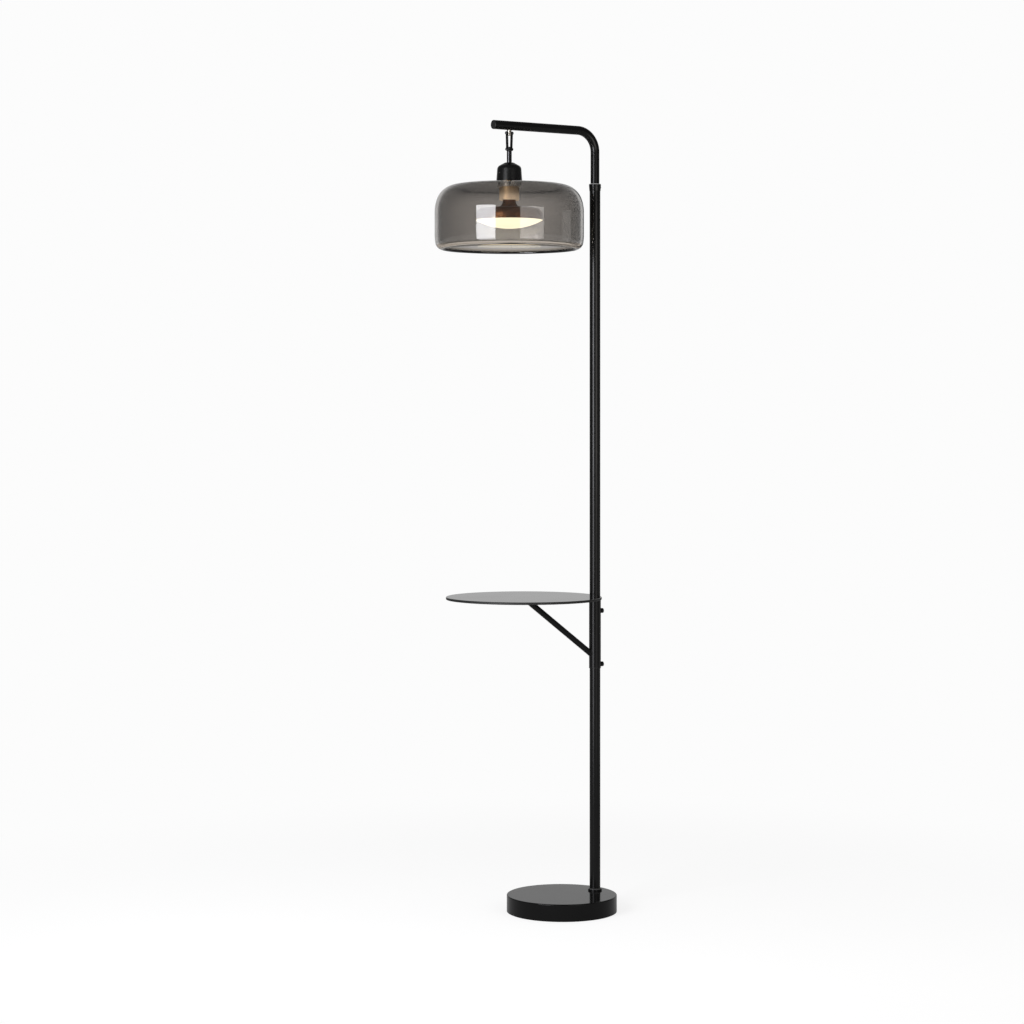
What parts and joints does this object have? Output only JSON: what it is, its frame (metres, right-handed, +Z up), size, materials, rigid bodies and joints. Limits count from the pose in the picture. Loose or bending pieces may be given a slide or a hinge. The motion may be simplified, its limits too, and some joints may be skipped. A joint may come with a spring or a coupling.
{
  "type": "shelf floor lamp",
  "caption": "Black floor lamp with a weighted round base, offset pole, bent arm, smoked glass drum shade hung on links, and a round shelf on an adjustable bracket.",
  "frame": {"origin": "middle of the base's underside, on the floor", "axes": "+Z up; the arm and shelf reach towards -X from the pole, which stands at +X"},
  "size_m": [0.3892, 0.314, 1.6],
  "materials": {
    "black_powder_coat": "satin",
    "black_plated_steel": "gloss",
    "satin_black_cap": "satin",
    "cast_iron": "as cast",
    "foam_rubber": "matte",
    "black_rubber": "matte",
    "silicone": "matte",
    "zinc_steel": "zinc plated",
    "black_nylon": "matte",
    "white_nylon": "matte",
    "smoked_glass": "gloss",
    "black_glass": "gloss",
    "brass": "satin",
    "contact_brass": "satin",
    "ceramic": "matte",
    "nickel": "satin",
    "bronze_housing": "satin anodised",
    "board_aluminium": "matte",
    "opal_acrylic": "satin"
  },
  "bodies": {
    "stand": {"floor_pad": "foam_rubber", "base_weight": "cast_iron", "base_cover": "black_powder_coat", "cord_inlet": "black_rubber", "pole_nipple": "zinc_steel", "nipple_washer": "zinc_steel", "nipple_nut": "zinc_steel", "pole_plug": "zinc_steel", "foot_collar": "black_powder_coat", "pole_lower": "black_powder_coat", "pole_coupler": "zinc_steel", "pole_upper": "black_powder_coat", "ferrule": "black_powder_coat", "ferrule_screw": "black_plated_steel", "arm_seat": "white_nylon"},
    "arm": {"arm_tube": "black_powder_coat", "arm_end_cap": "black_nylon", "hanger_lug": "black_plated_steel", "hanger_upper_pin": "black_plated_steel"},
    "hanger": {"hanger_links": "black_powder_coat", "hanger_lower_pin": "black_plated_steel"},
    "head": {"stem": "black_plated_steel", "socket_cap": "satin_black_cap", "shade_gasket": "silicone", "glass_shade": "smoked_glass", "shade_ring": "brass", "lampholder": "brass", "lampholder_insert": "ceramic", "centre_contact": "contact_brass", "lamp_cap": "nickel", "lamp_housing": "bronze_housing", "led_board": "board_aluminium", "lamp_diffuser": "opal_acrylic"},
    "bushes": {"shelf_bushes": "black_nylon"},
    "shelf": {"shelf_sleeve": "black_powder_coat", "thumb_bosses": "black_powder_coat", "shelf_strip": "black_powder_coat", "shelf_brace": "black_powder_coat", "shelf_plate": "black_powder_coat", "shelf_screws": "zinc_steel", "shelf_disc": "black_glass"},
    "upper_thumbscrew": {"thumbscrew_upper": "black_plated_steel"},
    "lower_thumbscrew": {"thumbscrew_lower": "black_plated_steel"}
  },
  "joints": [
    {"name": "arm_swivel", "type": "hinge", "parent": "stand", "child": "arm", "pos_m": [0.081, 0, 1.5], "axis": [0, 0, 1], "range_deg": [-90, 90]},
    {"name": "hanger_swing", "type": "hinge", "parent": "arm", "child": "hanger", "pos_m": [-0.1255, 0, 1.57575], "axis": [1, 0, 0], "range_deg": [-30, 30]},
    {"name": "head_swing", "type": "hinge", "parent": "hanger", "child": "head", "pos_m": [-0.1255, 0, 1.54335], "axis": [1, 0, 0], "range_deg": [-30, 30]},
    {"name": "shelf_slide", "type": "slide", "parent": "stand", "child": "bushes", "axis": [0, 0, 1], "range_m": [-0.42, 0.45]},
    {"name": "shelf_swivel", "type": "hinge", "parent": "bushes", "child": "shelf", "pos_m": [0.081, 0, 0.56], "axis": [0, 0, 1], "continuous": true},
    {"name": "upper_thumbscrew_turn", "type": "hinge", "parent": "shelf", "child": "upper_thumbscrew", "pos_m": [0.081, 0, 0.6079], "axis": [1, 0, 0], "continuous": true},
    {"name": "lower_thumbscrew_turn", "type": "hinge", "parent": "shelf", "child": "lower_thumbscrew", "pos_m": [0.081, 0, 0.4983], "axis": [1, 0, 0], "continuous": true}
  ]
}
